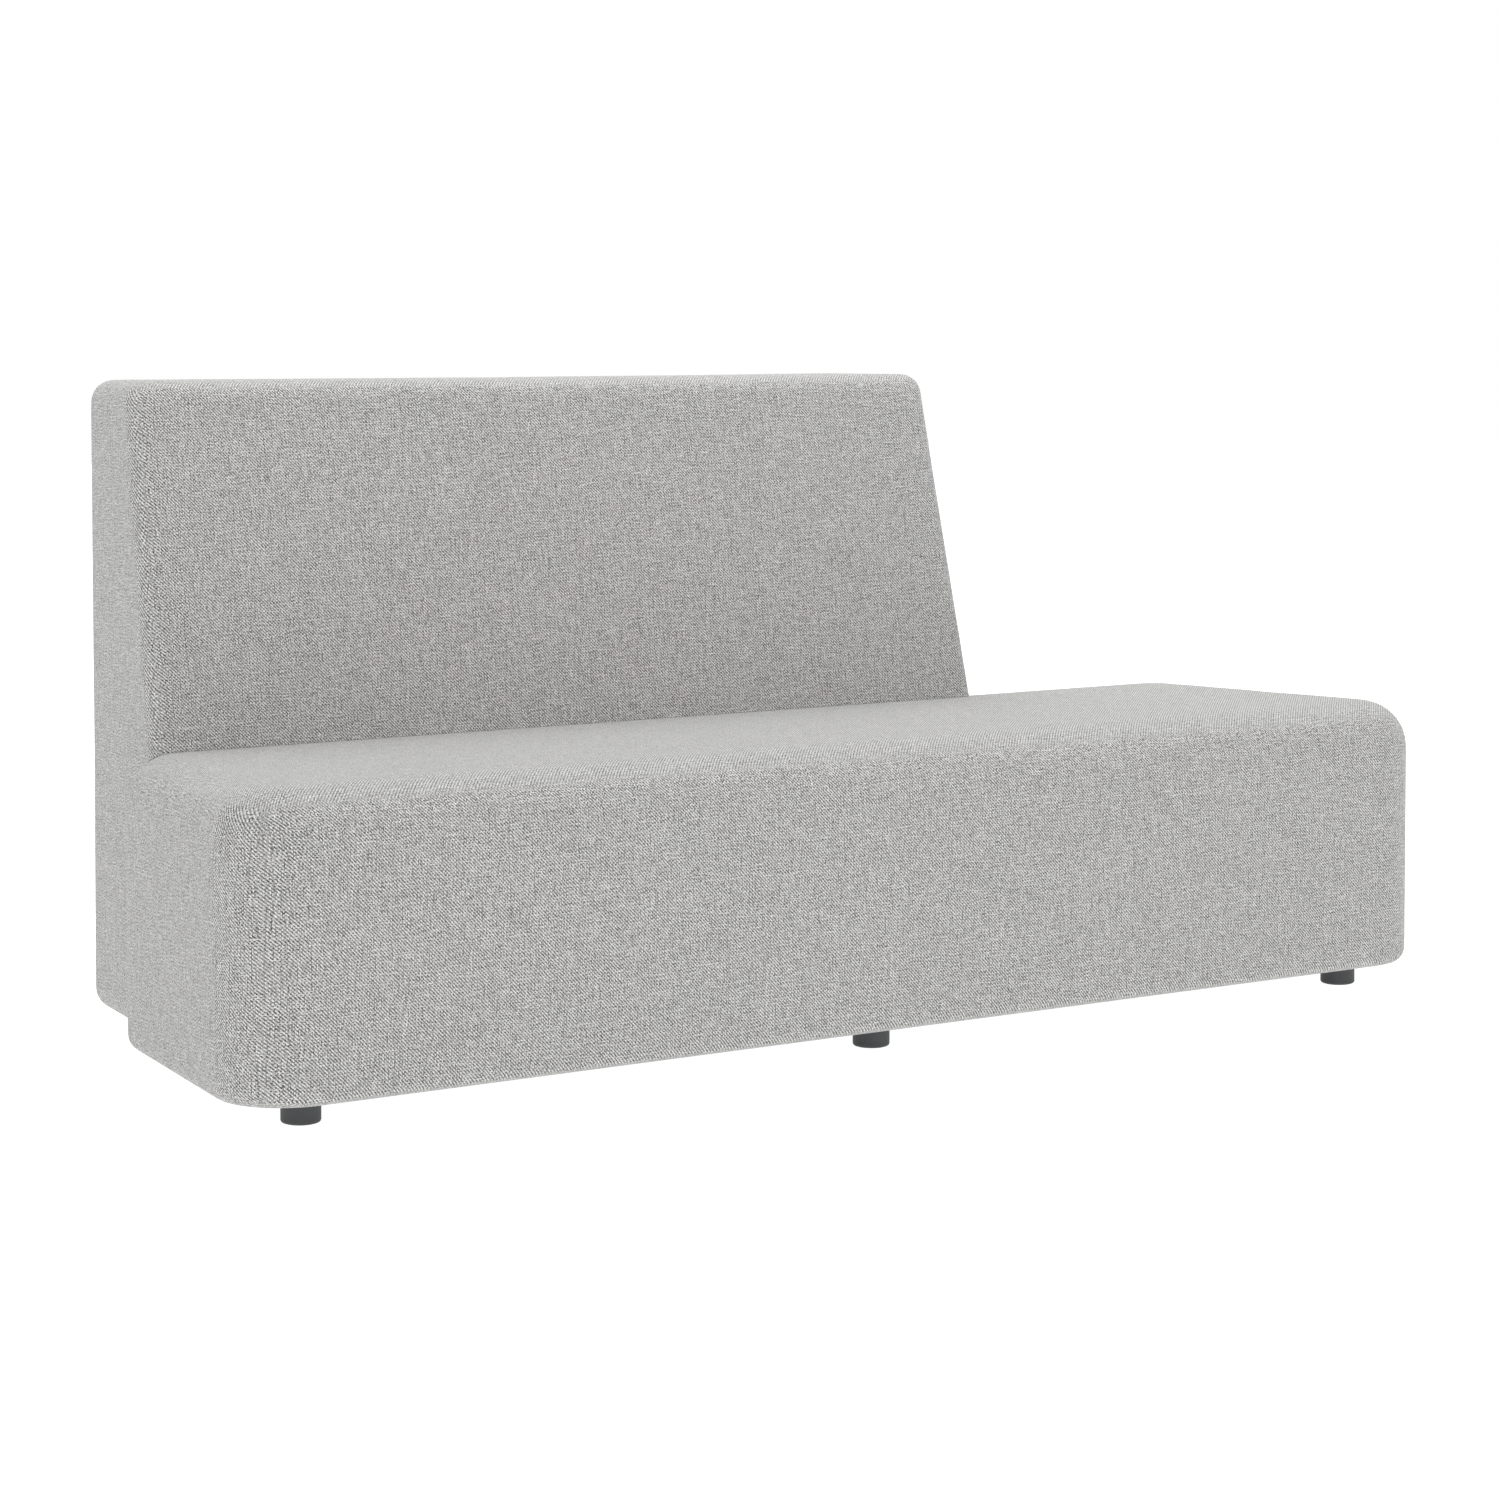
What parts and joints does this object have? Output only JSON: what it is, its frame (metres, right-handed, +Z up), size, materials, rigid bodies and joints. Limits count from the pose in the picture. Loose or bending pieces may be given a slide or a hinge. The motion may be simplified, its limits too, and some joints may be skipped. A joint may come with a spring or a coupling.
{
  "type": "modular sofa seat with a part-length back",
  "caption": "Upholstered modular sofa block with a part-length back, angled ends and small round feet, in light grey fabric.",
  "frame": {"origin": "middle of the whole sofa on the floor, under the centre of its bounding box", "axes": "+X to the right for someone who looks at the front, +Y from the front to the rear, +Z up"},
  "size_m": [1.9608, 0.764, 0.898],
  "materials": {
    "fabric": "light grey melange twill",
    "foam": "open-cell foam",
    "plywood": "raw plywood",
    "timber": "raw timber",
    "foot_plastic": "matte charcoal",
    "glide": "matte black",
    "steel": "zinc plated",
    "dust_cloth": "black non-woven cloth"
  },
  "bodies": {
    "root": {"seat_cover": "fabric", "back_cover": "fabric", "seat_foam_top": "foam", "seat_foam_front": "foam", "seat_foam_rear": "foam", "seat_foam_left": "foam", "seat_foam_right": "foam", "back_foam_front": "foam", "back_foam_top": "foam", "back_foam_rear": "foam", "back_foam_left": "foam", "back_foam_right": "foam", "back_foam_lip": "foam", "seat_deck": "plywood", "seat_base": "plywood", "seat_rib_outer_left": "plywood", "seat_rib_inner_left": "plywood", "seat_rib_inner_right": "plywood", "seat_rib_outer_right": "plywood", "back_front_panel": "plywood", "back_rear_panel": "plywood", "back_base": "plywood", "back_rib_left": "plywood", "back_rib_right": "plywood", "seat_front_rail": "timber", "seat_rear_rail": "timber", "seat_end_left": "timber", "seat_end_right": "timber", "seat_post_front_left": "timber", "seat_post_front_right": "timber", "seat_post_rear_right": "timber", "seat_post_rear_left": "timber", "spacer_blocks": "timber", "back_top_rail": "timber", "back_shelf": "timber", "back_mount_board": "timber", "back_end_left": "timber", "back_end_right": "timber", "foot_front_left": "foot_plastic", "foot_front_middle": "foot_plastic", "foot_front_right": "foot_plastic", "foot_rear_left": "foot_plastic", "foot_rear_middle": "foot_plastic", "foot_rear_right": "foot_plastic", "foot_back_left": "foot_plastic", "foot_back_right": "foot_plastic", "foot_glides": "glide", "foot_studs": "steel", "foot_tee_nuts": "steel", "joint_bolts": "steel", "joint_washers": "steel", "joint_tee_nuts": "steel", "seat_dust_sheet": "dust_cloth", "back_dust_sheet": "dust_cloth"}
  },
  "joints": []
}
